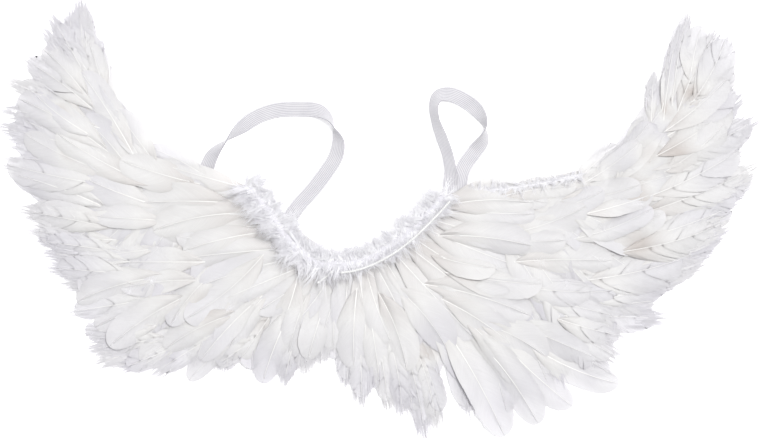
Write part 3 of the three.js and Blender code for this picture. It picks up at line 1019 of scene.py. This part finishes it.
# Rows of the table: root x, root y, tip x, tip y and width in view steps, level, style, bow
leftFeathers = [
    (101, 104, 101, 39, 11, 0.3, "pointed", -0.02),
    (133, 154, 81, 72, 27, 1.5, "quilled", 0.02),
    (157, 166, 116, 110, 25, 0.9, "round", 0.0),
    (146, 168, 104, 99, 24, 0.7, "round", 0.0),
    (104, 96, 89, 43, 18, 1.1, "round", 0.02),
    (84, 76, 79, 1, 25, 0.2, "frayed", 0.0),
    (88, 76, 82, 5, 15, 0.5, "frayed", 0.01),
    (86, 84, 68, 14, 20, 0.1, "frayed", -0.02),
    (92, 90, 52, 19, 22, 0.3, "frayed", 0.02),
    (96, 86, 62, 42, 18, 0.9, "worn", 0.05),
    (90, 104, 46, 33, 22, 0.0, "frayed", 0.0),
    (88, 98, 41, 48, 25, 0.7, "round", 0.04),
    (96, 112, 25, 60, 29, 0.4, "worn", 0.03),
    (92, 124, 11, 82, 25, 0.0, "frayed", 0.02),
    (94, 137, 33, 93, 21, 1.5, "quilled", -0.03),
    (100, 128, 5, 110, 25, 0.0, "frayed", 0.02),
    (108, 152, 16, 98, 34, 0.8, "round", 0.04),
    (92, 152, 1, 128, 27, 0.2, "frayed", 0.02),
    (118, 176, 24, 134, 27, 0.9, "round", -0.03),
    (116, 186, 3, 163, 31, 0.6, "worn", -0.02),
    (106, 208, 11, 174, 36, 0.3, "quilled", 0.03),
    (158, 188, 57, 133, 26, 2.2, "quilled", -0.03),
    (200, 184, 120, 160, 34, 2.7, "quilled", -0.02),
    (214, 182, 150, 147, 16, 1.2, "round", 0.03),
    (158, 206, 85, 178, 30, 1.6, "quilled", -0.02),
    (232, 203, 138, 203, 34, 2.4, "quilled", 0.02),
    (170, 221, 94, 216, 25, 1.8, "round", 0.0),
    (257, 214, 153, 231, 33, 2.9, "quilled", 0.06),
    (264, 232, 183, 251, 27, 2.8, "quilled", 0.03),
    (116, 228, 22, 210, 30, 0.2, "frayed", 0.0),
    (112, 222, 41, 206, 27, 1.0, "round", -0.03),
    (116, 240, 32, 230, 25, 0.1, "frayed", -0.02),
    (122, 252, 41, 241, 21, 0.3, "frayed", 0.0),
    (160, 248, 98, 256, 17, 1.7, "round", 0.0),
    (205, 262, 128, 262, 28, 1.9, "quilled", 0.0),
    (198, 280, 120, 288, 28, 1.6, "round", 0.03),
    (130, 262, 48, 253, 24, 0.1, "frayed", 0.0),
    (132, 274, 50, 268, 27, 0.2, "frayed", 0.0),
    (136, 286, 64, 285, 24, 0.1, "frayed", 0.03),
    (168, 276, 76, 302, 31, 1.0, "round", 0.05),
    (146, 300, 71, 312, 25, 0.2, "worn", 0.0),
    (176, 298, 94, 328, 29, 1.2, "round", 0.04),
    (156, 326, 83, 330, 27, 0.2, "worn", -0.03),
    (186, 296, 109, 347, 34, 1.4, "lifted", 0.04),
    (166, 338, 91, 349, 27, 0.2, "frayed", 0.0),
    (172, 342, 98, 364, 29, 0.1, "frayed", 0.02),
    (180, 345, 122, 369, 27, 0.2, "frayed", 0.0),
    (208, 322, 139, 362, 26, 1.0, "worn", 0.03),
    (216, 336, 154, 374, 27, 0.2, "frayed", 0.02),
    (228, 262, 170, 326, 29, 1.1, "lifted", 0.06),
    (264, 254, 185, 319, 37, 2.1, "lifted", -0.05),
    (240, 312, 164, 350, 28, 1.2, "round", 0.05),
    (262, 296, 200, 361, 27, 1.4, "quilled", 0.03),
    (246, 330, 188, 381, 22, 0.6, "round", 0.03),
    (254, 340, 214, 366, 24, 0.2, "worn", 0.0),
    (276, 284, 228, 352, 25, 1.3, "round", 0.05),
    (270, 316, 240, 360, 23, 0.5, "worn", 0.0),
    (294, 306, 262, 384, 30, 0.6, "hero", 0.03),
    (298, 330, 284, 383, 24, 0.2, "frayed", 0.02),
    (298, 276, 270, 352, 29, 1.7, "quilled", -0.03),
    (312, 322, 304, 372, 27, 0.3, "frayed", 0.02),
    (312, 284, 288, 356, 25, 1.1, "round", 0.03),
    (332, 286, 308, 360, 28, 1.5, "quilled", 0.02),
    (326, 318, 321, 363, 23, 0.4, "frayed", 0.02),
    (340, 284, 333, 350, 29, 1.3, "round", 0.03),
]
rightFeathers = [
    (357, 288, 354, 369, 32, 1.9, "quilled", 0.02),
    (350, 322, 347, 384, 24, 0.3, "frayed", 0.0),
    (358, 322, 361, 403, 27, 0.5, "frayed", -0.02),
    (364, 292, 379, 378, 27, 1.3, "quilled", -0.02),
    (374, 322, 388, 407, 23, 0.4, "frayed", -0.02),
    (378, 292, 407, 371, 33, 1.8, "round", -0.05),
    (386, 330, 402, 412, 25, 0.6, "frayed", -0.04),
    (396, 322, 425, 434, 27, 0.3, "frayed", -0.03),
    (404, 322, 437, 424, 27, 0.5, "frayed", -0.04),
    (396, 306, 441, 413, 20, 0.8, "worn", -0.04),
    (396, 288, 449, 353, 37, 2.1, "round", -0.06),
    (436, 316, 505, 437, 38, 0.9, "hero", -0.03),
    (458, 322, 539, 425, 34, 0.7, "hero", -0.05),
    (462, 318, 520, 386, 27, 1.3, "round", -0.06),
    (494, 334, 573, 407, 32, 0.5, "hero", 0.02),
    (528, 344, 620, 384, 29, 0.5, "hero", 0.05),
    (546, 326, 612, 374, 27, 0.3, "worn", 0.03),
    (504, 318, 598, 359, 35, 1.0, "pointed", 0.0),
    (560, 326, 617, 357, 31, 0.3, "frayed", 0.0),
    (556, 318, 622, 336, 26, 0.5, "worn", 0.02),
    (422, 284, 531, 316, 39, 2.5, "quilled", -0.04),
    (440, 298, 512, 344, 31, 1.8, "quilled", -0.03),
    (476, 322, 547, 358, 35, 1.4, "round", -0.06),
    (443, 206, 534, 203, 40, 3.0, "quilled", -0.05),
    (438, 236, 532, 246, 33, 2.9, "quilled", -0.04),
    (430, 254, 496, 268, 26, 2.6, "round", 0.03),
    (444, 272, 542, 284, 31, 2.2, "round", 0.02),
    (492, 236, 586, 206, 34, 2.3, "round", 0.05),
    (476, 236, 566, 240, 26, 1.9, "round", 0.03),
    (514, 262, 613, 261, 31, 2.2, "round", -0.02),
    (500, 284, 592, 292, 29, 1.6, "worn", 0.02),
    (496, 198, 577, 186, 23, 1.9, "round", -0.03),
    (524, 218, 604, 190, 29, 1.5, "round", 0.04),
    (560, 200, 640, 184, 35, 1.4, "lifted", 0.05),
    (584, 214, 652, 194, 19, 1.7, "quilled", 0.02),
    (566, 240, 652, 208, 21, 1.3, "lifted", 0.05),
    (580, 250, 664, 212, 21, 1.0, "lifted", 0.05),
    (652, 128, 655, 74, 13, 0.1, "frayed", -0.02),
    (664, 120, 678, 35, 13, 0.3, "pointed", -0.02),
    (662, 112, 677, 46, 17, 0.1, "frayed", 0.0),
    (672, 106, 688, 17, 20, 0.3, "frayed", -0.02),
    (690, 82, 703, 25, 26, 0.8, "round", -0.03),
    (678, 112, 716, 33, 26, 0.2, "frayed", -0.03),
    (694, 100, 727, 37, 37, 0.85, "worn", 0.04),
    (688, 104, 734, 68, 27, 0.4, "worn", 0.04),
    (664, 132, 728, 78, 27, 1.2, "round", 0.03),
    (664, 138, 736, 88, 29, 0.6, "worn", 0.02),
    (662, 146, 742, 98, 28, 0.2, "frayed", 0.03),
    (656, 156, 732, 106, 31, 1.0, "round", 0.03),
    (672, 158, 757, 119, 31, 0.3, "frayed", 0.04),
    (664, 172, 724, 124, 32, 1.4, "round", 0.04),
    (676, 172, 749, 131, 28, 0.1, "frayed", 0.0),
    (650, 196, 741, 149, 33, 0.8, "worn", 0.03),
    (640, 214, 757, 168, 35, 0.5, "frayed", 0.02),
    (652, 214, 752, 182, 30, 0.1, "frayed", 0.0),
    (652, 220, 742, 194, 29, 0.2, "frayed", 0.0),
    (636, 240, 734, 206, 30, 0.5, "worn", 0.02),
    (618, 252, 728, 221, 37, 1.1, "frayed", 0.04),
    (644, 252, 727, 232, 29, 0.2, "frayed", 0.02),
    (634, 270, 713, 249, 29, 0.1, "frayed", 0.0),
    (626, 284, 702, 264, 29, 0.2, "frayed", 0.0),
    (588, 280, 684, 258, 43, 0.9, "worn", 0.03),
    (596, 294, 686, 274, 27, 0.1, "frayed", 0.0),
    (590, 302, 672, 285, 25, 0.2, "frayed", 0.0),
    (580, 308, 656, 301, 26, 0.1, "worn", 0.0),
    (564, 316, 663, 318, 30, 0.3, "frayed", 0.0),
    (544, 292, 618, 290, 23, 1.0, "worn", 0.02),
    (536, 300, 614, 316, 27, 1.2, "worn", -0.02),
    (606, 168, 650, 122, 21, 0.5, "lifted", 0.03),
    (574, 184, 619, 145, 18, 0.8, "worn", -0.03),
    (586, 182, 640, 142, 22, 0.9, "lifted", 0.03),
]

# Feathers below the ones that show: places along tipLine, root and tip as shares of the way to the outline
fillRows = {
    "left": [
        (1.4, 11, 25, 0.3, 0.95, -0.3, "worn"),
        (1.4, 12, 22, 0, 0.56, -0.25, "under"),
        (1.5, 11, 18, 0.25, 0.85, -0.2, "under"),
        (1.4, 12, 19, 0.1, 0.74, -0.1, "under"),
        (1.7, 10.4, 14, 0.05, 0.5, 0.7, "under"),
    ],
    "right": [
        (12, 22.5, 27, 0.3, 0.92, -0.3, "worn"),
        (12, 22.4, 23, 0, 0.56, -0.25, "under"),
        (12.6, 22.4, 20, 0.25, 0.85, -0.2, "under"),
        (13.1, 22.4, 19, 0.1, 0.74, -0.1, "under"),
        (11.5, 22.2, 16, 0.05, 0.5, 0.7, "under"),
    ],
}

notch = (13.05, 13.6)  # open places beside the longest feather

# Outline of the tips: place on the panel's middle line, then shares of the span and of the height
tipLine = [
    (0, -0.377, 0.406), (0, -0.394, 0.5), (0, -0.447, 0.42), (0, -0.489, 0.291), (0, -0.5, 0.158),
    (0.02, -0.476, 0.021), (0.055, -0.439, -0.122), (0.095, -0.391, -0.287), (0.15, -0.304, -0.36),
    (0.23, -0.222, -0.369), (0.32, -0.156, -0.374), (0.4, -0.089, -0.356), (0.48, -0.023, -0.415),
    (0.59, 0.064, -0.489), (0.69, 0.166, -0.5), (0.75, 0.255, -0.427), (0.8, 0.316, -0.378),
    (0.855, 0.366, -0.232), (0.91, 0.435, -0.08), (0.96, 0.477, 0.044), (0.99, 0.5, 0.163),
    (1, 0.48, 0.291), (1, 0.459, 0.401), (1, 0.413, 0.461), (1, 0.394, 0.385),
]

# Short top feathers from the neckline: place along it, tip x and y in view steps, width
covertTips = {
    "left": [(0.02, 158, 163, 24), (0.08, 142, 184, 30), (0.14, 152, 196, 28), (0.2, 157, 228, 28),
             (0.26, 176, 236, 26), (0.31, 183, 258, 26), (0.36, 200, 286, 28), (0.4, 222, 300, 27),
             (0.44, 256, 312, 27), (0.48, 296, 322, 26), (0.51, 324, 330, 25)],
    "right": [(0.53, 344, 334, 27), (0.56, 366, 342, 28), (0.59, 392, 344, 28), (0.62, 416, 348, 29),
              (0.66, 446, 346, 30), (0.7, 474, 338, 31), (0.75, 505, 318, 31), (0.79, 520, 290, 30),
              (0.84, 524, 268, 28), (0.88, 540, 240, 27), (0.93, 536, 214, 28), (0.98, 548, 203, 24)],
}


def fillFeathers(side, rng):
    froms = np.array([row[0] for row in tipLine])
    outline = placed([row[1:] for row in tipLine])
    stops = np.arange(len(tipLine))
    rows = []
    for first, last, count, root, tip, level, style in fillRows[side]:
        for i in range(count):
            place = first + (last - first) * i / (count - 1) + rng.uniform(-0.15, 0.15)
            place = min(max(place, 0), len(tipLine) - 1.001)
            if tip > 0.9 and notch[0] < place < notch[1]:
                continue
            start = evenly(placed(panelLine), np.array([np.interp(place, stops, froms)]))[0]
            end = np.array([np.interp(place, stops, outline[:, k]) for k in (0, 1)])
            a = start + (end - start) * root
            b = start + (end - start) * (tip - rng.uniform(0, 0.1))
            rows.append((*viewed(a), *viewed(b), 30, level, style))
    for place, x, y, width in covertTips[side]:
        start = evenly(placed(neckline), np.array([place]))[0]
        rows.append((*viewed(start), x, y, width, 1.7, "quilled"))
    return rows


layerNames = [("outer", 0.65), ("middle", 1.35), ("inner", 2.05), ("covert", 9.0)]


def makeFeathers():
    rng = np.random.default_rng(11)
    rows = [("left", row) for row in fillFeathers("left", rng) + leftFeathers]
    rows += [("right", row) for row in fillFeathers("right", rng) + rightFeathers]
    baskets = {(side, layer): newBasket() for side in ("left", "right") for layer, top in layerNames}
    for side, row in sorted(rows, key=lambda item: item[1][5]):
        layer = next(name for name, top in layerNames if row[5] < top)
        addFeather(baskets[side, layer], row, rng)
    for (side, layer), basket in baskets.items():
        name = side + "_" + layer + "_plumage"
        node = side + "_" + layer + "_feathers"
        makePiece(name, basket, [vaneMaterial, quillMaterial], node)


print("feathers")
makeFeathers()


# turns: where tufts start around the core, 0 on the feather side and pi on the neck side
# slant: rise of a tuft
trimForm = {
    "radius": 0.0045,
    "axis": 0.0163,  # height of its middle
    # how far the core is painted the shade colour of the inside of the fluff
    "coreShade": 1.0,
    "along": (0, 1),
    "tufts": 340,
    "hairsPerTuft": 13,
    "locksPerTuft": 9,
    "length": (0.0085, 0.0145),
    "thick": (0.0001, 0.00018),
    "wide": (0.00022, 0.00048),
    "gather": 0.0014,  # half width of a tuft at its foot
    "shift": 0.0018,  # how far the tufts sit towards the neck
    "flow": 0.65,  # how far tufts turn along the line
    "turns": (-0.1, math.pi + 0.1),
    "mixing": 0.6,  # how often a tuft leans back over the core
    "slant": (0.05, 0.75),
    "rings": 260,
    "sides": 30,
}
# the down that spreads over the short feathers on the left
spreadForm = {
    **trimForm,
    "along": (0, 0.5),
    "tufts": 110,
    "turns": (0.1, 0.9),
    "mixing": 0.01,
    "slant": (-0.5, 0.1),
    "length": (0.009, 0.017),
}


def addLumpyCore(basket, line, form, rng):
    rings, sides, axis = form["rings"], form["sides"], form["axis"]
    shares = np.linspace(0, 1, rings)
    spine = evenly(line, shares)
    head = unit(np.gradient(spine, axis=0))
    right = rightOf(head)
    angle = np.arange(sides) * 2 * math.pi / sides
    lumps = np.stack([wander(rings, 3, rng) for _ in range(sides)], axis=1)
    lumps = (lumps + np.roll(lumps, 1, axis=1) + np.roll(lumps, 2, axis=1)) / 2
    taper = np.sqrt(np.clip(np.minimum(shares, 1 - shares) * 30, 0.05, 1))
    size = form["radius"] * taper[:, None] * (1 + 0.08 * lumps + rng.normal(0, 0.03, lumps.shape))
    xy = spine[:, None] + right[:, None] * (np.cos(angle)[None] * size)[..., None]
    z = axis + np.sin(angle)[None] * size
    points = np.concatenate([xy, z[..., None]], axis=-1).reshape(-1, 3)
    addTube(basket, points, rings, sides, tone=form["coreShade"])


# Each tuft is a spray of flat locks and of finer hairs that start at one spot of the core
def addTufts(basket, line, form, rng):
    first, last = form["along"]
    for kind, sizes in (("locksPerTuft", "wide"), ("hairsPerTuft", "thick")):
        count, each = form["tufts"], form[kind]
        shares = first + (last - first) * (np.arange(count) + rng.uniform(0, 1, count)) / count
        spine = evenly(line, shares)
        ahead, behind = (evenly(line, np.clip(shares + step, 0, 1)) for step in (0.01, -0.01))
        head = unit(ahead - behind)
        right = rightOf(head)
        turn = rng.uniform(*form["turns"], count)
        lean = np.where(np.cos(turn) + rng.normal(0, form["mixing"], count) > 0, 1.0, -1.0)
        slant = rng.uniform(*form["slant"], count)
        flow = rng.normal(0, form["flow"], count)
        curl = unit(rng.normal(size=(count, 3))) * 0.5
        parts = (spine, head, right, turn, lean, slant, flow, curl)
        spine, head, right, turn, lean, slant, flow, curl = (np.repeat(part, each, axis=0) for part in parts)
        total = count * each
        turn = turn + rng.normal(0, 0.15, total)
        slant = slant + rng.normal(0, 0.12, total)
        flow = flow + rng.normal(0, 0.12, total)
        head3 = np.concatenate([head, np.zeros((total, 1))], axis=1)
        out = np.concatenate([right * np.cos(turn)[:, None], np.sin(turn)[:, None]], axis=1)
        way = np.concatenate([right * (lean * np.cos(slant))[:, None], np.sin(slant)[:, None]], axis=1)
        way = unit(way + head3 * flow[:, None])
        start = np.concatenate([spine, np.full((total, 1), form["axis"])], axis=1)
        start = start + out * form["radius"] * 0.9
        long = rng.uniform(*form["length"], total) * rng.uniform(0.6, 1.3, count).repeat(each)
        aside = head3 * rng.normal(0, form["gather"], total)[:, None]
        start = start + aside
        start[:, :2] -= right * form["shift"]
        bend = curl + unit(rng.normal(size=(total, 3))) * rng.uniform(0.05, 0.25, total)[:, None]
        bend = bend - aside / long[:, None] * 0.8
        bend[:, 2] -= 0.25
        flat = 0.35 if kind == "locksPerTuft" else 1.0
        tone = rng.uniform(-0.2, 0.6, count).repeat(each) + rng.normal(0, 0.1, total)
        tone = np.clip(tone, 0, 1).repeat(10)  # one for each point of a strand
        addStrands(basket, start, way, bend, long, rng.uniform(*form[sizes], total), tone=tone, flat=flat)


# Curled bits of down that lie about on the feathers: x and y in view steps
knotForm = {"strands": 22, "length": (0.003, 0.008), "thick": (0.00008, 0.00016)}
knots = [
    (160, 248), (152, 280), (262, 272), (640, 205), (230, 310), (600, 262), (622, 292),
    (566, 284), (578, 176), (606, 232), (540, 262), (128, 292), (186, 352), (650, 98),
]


def addKnots(basket, rng):
    for x, y in knots:
        count = knotForm["strands"]
        xy = seen(x, y) + rng.normal(0, 0.0012, (count, 2))
        starts = np.concatenate([xy, restUnder(xy)[1][:, None] + 0.0003], axis=1)
        ways = unit(np.concatenate([rng.normal(0, 1, (count, 2)), rng.uniform(0, 0.5, (count, 1))], axis=1))
        bends = unit(rng.normal(size=(count, 3))) * rng.uniform(0.3, 1.2, count)[:, None]
        bends[:, 2] = np.abs(bends[:, 2]) * 0.3 - 0.2
        long = rng.uniform(*knotForm["length"], count)
        thick = rng.uniform(*knotForm["thick"], count)
        addStrands(basket, starts, ways, bends, long, thick, steps=5)


def makeDownTrim():
    rng = np.random.default_rng(5)
    basket = newBasket()
    line = placed(neckline)
    addLumpyCore(basket, line, trimForm, rng)
    addTufts(basket, line, trimForm, rng)
    addTufts(basket, line, spreadForm, rng)
    addKnots(basket, rng)
    makePiece("marabou_trim", basket, [downMaterial], "down_trim", 60)


fringeForm = {
    "radius": 0.0005,
    "axis": 0.0068,
    # how far the core is painted the shade colour of the inside of the fluff
    "coreShade": 0.7,
    "gather": 0.0012,
    "shift": 0,
    "flow": 1.2,
    "along": (0, 1),
    "tufts": 90,
    "hairsPerTuft": 10,
    "locksPerTuft": 4,
    "length": (0.0055, 0.011),
    "thick": (0.00008, 0.00014),
    "wide": (0.00016, 0.0003),
    "turns": (0.6, math.pi + 0.2),
    "mixing": 0.9,
    "slant": (-0.1, 0.6),
    "rings": 40,
    "sides": 10,
}


def makeEdgeFringe():
    rng = np.random.default_rng(6)
    basket = newBasket()
    line = placed(topEdge)
    addLumpyCore(basket, line, fringeForm, rng)
    addTufts(basket, line, fringeForm, rng)
    makePiece("edge_fringe", basket, [downMaterial], "edge_down", 60)


print("down")
makeDownTrim()
makeEdgeFringe()


cordForm = {
    "radius": 0.0011,
    "trimRadius": 0.0092,
    "clearance": 0.0003,
    "lean": 32,
    "reach": (0.5, 0.985),
    "turns": 34,
    "strands": 2,
}
# the end that lies apart: x and y in view steps, height
cordEnd = [(334, 270, 0.0215), (327, 276, 0.0195), (318, 283, 0.0175)]


def addTwist(basket, path, radius, turns, strands, rings=420, sides=6):
    shares = np.linspace(0, 1, rings)
    spine = evenly(path, shares)
    head = unit(np.gradient(spine, axis=0))
    up = np.array([0, 0, 1.0])
    side = unit(np.cross(head, up))
    over = np.cross(side, head)
    for k in range(strands):
        phase = shares * turns * 2 * math.pi + k * 2 * math.pi / strands
        ofs = side * np.cos(phase)[:, None] + over * np.sin(phase)[:, None]
        centre = spine + ofs * radius * 0.45
        angle = np.arange(sides) * 2 * math.pi / sides
        ring = side[:, None] * np.cos(angle)[None, :, None] + over[:, None] * np.sin(angle)[None, :, None]
        points = (centre[:, None] + ring * radius * 0.55).reshape(-1, 3)
        u = np.repeat(shares * 20, sides)
        v = np.tile(angle / 6.28, rings)
        addTube(basket, points, rings, sides, np.stack([u, v], axis=1))


def makeCoreCord():
    basket = newBasket()
    shares = np.linspace(*cordForm["reach"], 15)
    neck = placed(neckline)
    spot = evenly(neck, shares)
    head = unit(evenly(neck, np.clip(shares + 0.01, 0, 1)) - evenly(neck, shares - 0.01))
    lean = math.radians(cordForm["lean"])
    reach = cordForm["trimRadius"] + cordForm["clearance"] + cordForm["radius"]
    xy = spot + rightOf(head) * reach * math.sin(lean)
    z = np.full(len(shares), trimForm["axis"] + reach * math.cos(lean))
    path = np.concatenate([xy, z[:, None]], axis=1)
    addTwist(basket, path, cordForm["radius"], cordForm["turns"], cordForm["strands"])
    short = np.array([(*seen(x, y), z) for x, y, z in cordEnd])
    addTwist(basket, short, cordForm["radius"] * 0.9, 5, 2, rings=80)
    makePiece("core_cord", basket, [cordMaterial], "trim_cord", 60)


print("cord")
makeCoreCord()


strapForm = {"width": 0.012, "thickness": 0.0012, "ribs": 9, "ribDepth": 0.00022, "rings": 210}

# x and y are shares of the span and the height, turn is in degrees
leftStrapLine = [
    (-0.24, 0.02, 0), (-0.237, 0.066, 0), (-0.231, 0.11, 0), (-0.222, 0.147, 30), (-0.201, 0.183, 90),
    (-0.181, 0.213, 150), (-0.163, 0.235, 180), (-0.137, 0.25, 180), (-0.105, 0.253, 180),
    (-0.081, 0.249, 200), (-0.066, 0.23, 245), (-0.06, 0.204, 280), (-0.055, 0.177, 325),
    (-0.058, 0.145, 350), (-0.07, 0.11, 360), (-0.088, 0.069, 360), (-0.109, 0.028, 360),
    (-0.124, -0.011, 360), (-0.137, -0.048, 360),
]
rightStrapLine = [
    (0.074, -0.03, 0), (0.086, 0.01, 0), (0.091, 0.045, 0), (0.094, 0.078, 0), (0.094, 0.112, 40),
    (0.09, 0.149, 45), (0.082, 0.188, 45), (0.074, 0.227, 60), (0.072, 0.261, 55), (0.078, 0.283, 35),
    (0.093, 0.287, 15), (0.113, 0.273, 0), (0.129, 0.25, -20), (0.14, 0.214, -80), (0.138, 0.181, -140),
    (0.127, 0.156, -180), (0.112, 0.117, -180), (0.107, 0.08, -180), (0.112, 0.04, -180), (0.122, 0, -180),
]


def makeStrap(name, table, node):
    rings = strapForm["rings"]
    shares = np.linspace(0, 1, rings)
    spine = curveThrough(placed(table), shares)
    head = unit(np.gradient(spine, axis=0))
    right = rightOf(head)
    place = shares * (len(table) - 1)
    turn = np.radians(np.interp(place, np.arange(len(table)), [row[2] for row in table]))
    perRib = 4
    across = np.linspace(-0.5, 0.5, strapForm["ribs"] * perRib + 1)
    wave = np.abs(np.sin((across + 0.5) * math.pi * strapForm["ribs"]))
    thick = strapForm["thickness"] / 2 - strapForm["ribDepth"] * (1 - wave)
    thick[0] *= 0.5
    thick[-1] *= 0.5
    wide = np.concatenate([across, across[::-1]]) * strapForm["width"]
    high = np.concatenate([thick, -thick[::-1]])
    # how deep each point lies in a groove, for the painted groove shade
    grooveShade = np.concatenate([1 - wave, (1 - wave)[::-1]]) ** 2
    c, s = np.cos(turn)[:, None], np.sin(turn)[:, None]
    aside = wide * c - high * s
    rise = (strapForm["width"] * np.abs(s) + strapForm["thickness"] * np.abs(c)) / 2
    z = rise + wide * s + high * c
    xy = spine[:, None] + right[:, None] * aside[..., None]
    sides = len(wide)
    points = np.concatenate([xy, z[..., None]], axis=-1).reshape(-1, 3)
    run = np.concatenate([[0], np.cumsum(np.linalg.norm(np.diff(spine, axis=0), axis=1))]) * 100
    u = np.repeat(run, sides)
    v = np.tile(wide * 100, rings)
    basket = newBasket()
    addTube(basket, points, rings, sides, np.stack([u, v], axis=1), np.tile(grooveShade, rings), turned=False)
    makePiece(name, basket, [elasticMaterial], node, 40)


print("straps")
makeStrap("left_elastic", leftStrapLine, "left_strap")
makeStrap("right_elastic", rightStrapLine, "right_strap")


feltForm = {"rings": 150, "columns": 16, "edge": 0.0008}


def makeFeltCarrier():
    rings = feltForm["rings"]
    shares = np.linspace(0, 1, rings)
    spine = curveThrough(placed(panelLine), shares)
    head = unit(np.gradient(spine, axis=0))
    right = rightOf(head)
    half = np.interp(shares, np.linspace(0, 1, 9), [row[2] for row in panelLine]) * wingHeight
    top, bottom = stack["panelTop"], stack["panelBottom"]
    across = np.linspace(-1, 1, feltForm["columns"])
    wide = np.concatenate([across, across[::-1]])
    rim = np.clip((1 - np.abs(across)) * half.mean() / feltForm["edge"], 0, 1)
    soft = np.sqrt(1 - (1 - rim) ** 2)
    middle = (top + bottom) / 2
    high = np.concatenate([soft, -soft[::-1]]) * (top - bottom) / 2
    xy = spine[:, None] + right[:, None] * (half[:, None] * wide)[..., None]
    z = np.broadcast_to(middle + high, (rings, len(wide)))
    points = np.concatenate([xy, z[..., None]], axis=-1).reshape(-1, 3)
    basket = newBasket()
    addTube(basket, points, rings, len(wide), turned=False)
    makePiece("felt_carrier", basket, [feltMaterial], "base_panel", 40)


print("felt")
makeFeltCarrier()
